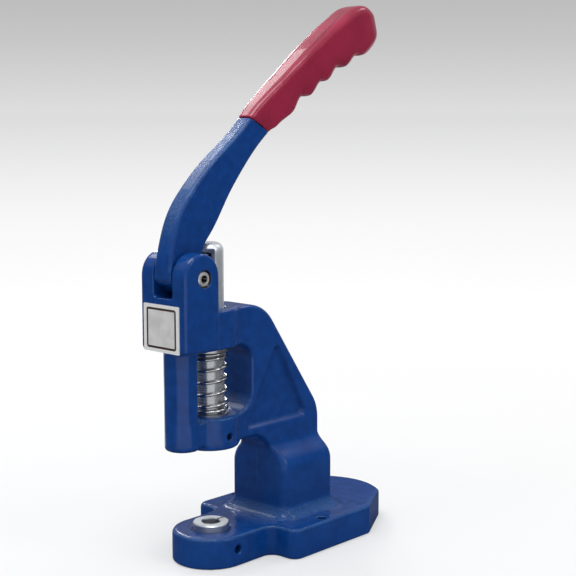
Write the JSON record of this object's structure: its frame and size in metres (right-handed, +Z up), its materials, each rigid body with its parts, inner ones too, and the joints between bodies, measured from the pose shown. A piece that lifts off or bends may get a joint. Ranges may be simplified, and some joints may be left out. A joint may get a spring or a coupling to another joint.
{
  "type": "eyelet machine",
  "caption": "Hand press for eyelets, grommets and snaps: cast C-frame on a base, hand lever, spring-returned ram with a tapped end, and a clamp bushing for the lower die.",
  "frame": {"origin": "on the base's underside, straight below the ram axis and the die bushing's axis", "axes": "+Z up along the ram axis; the operator stands at -Y, the handle leans and is pushed towards +Y; +X is the right-hand side seen from the operator; X = 0 is the plane of symmetry"},
  "size_m": [0.1, 0.2191, 0.391],
  "materials": {
    "frame_paint": "deep blue gloss enamel over a cast surface",
    "lever_paint": "deep blue gloss enamel over a cast surface",
    "grip_vinyl": "crimson dipped vinyl, glossy",
    "pin_steel": "turned steel",
    "zinc_steel": "bright zinc plate",
    "bearing_bronze": "oiled bearing bronze",
    "roller_steel": "hardened and ground steel",
    "ram_steel": "ground and polished steel",
    "black_steel": "black oxide steel",
    "spring_steel": "bright spring wire",
    "bushing_steel": "turned and polished steel",
    "plate_metal": "satin plate with a dark border line"
  },
  "bodies": {
    "frame": {"frame_casting": "frame_paint", "fulcrum_pin": "pin_steel", "fulcrum_washer": "zinc_steel", "fulcrum_lock_nut": "zinc_steel", "thrust_washers": "bearing_bronze", "upper_ram_bush": "bearing_bronze", "lower_ram_bush": "bearing_bronze", "spring_seat_washer": "zinc_steel", "return_spring": "spring_steel", "ram_guide_screw": "black_steel", "die_clamp_screw": "black_steel", "die_bushing": "bushing_steel", "label_plate": "plate_metal"},
    "lever": {"lever_arm": "lever_paint", "handle_grip": "grip_vinyl", "lever_pivot_bush": "bearing_bronze", "roller_pin": "pin_steel"},
    "roller": {"roller": "roller_steel", "roller_bush": "bearing_bronze"},
    "ram": {"ram": "ram_steel", "spring_collar": "zinc_steel", "collar_ring": "black_steel"}
  },
  "joints": [
    {"name": "lever_hinge", "type": "hinge", "parent": "frame", "child": "lever", "pos_m": [0, -0.0248, 0.2018], "axis": [-1, 0, 0], "range_deg": [0, 40]},
    {"name": "ram_slide", "type": "slide", "parent": "frame", "child": "ram", "axis": [0, 0, -1], "range_m": [0, 0.0178], "stiffness_N_per_m": 4200, "springref_m": -0.012, "deforming": ["return_spring"]},
    {"name": "roller_spin", "type": "hinge", "parent": "lever", "child": "roller", "pos_m": [0, -0.00037, 0.21069], "axis": [1, 0, 0], "continuous": true}
  ],
  "couplings": [
    {"joint": "ram_slide", "follows": "lever_hinge", "m_per_rad": 0.025475}
  ]
}
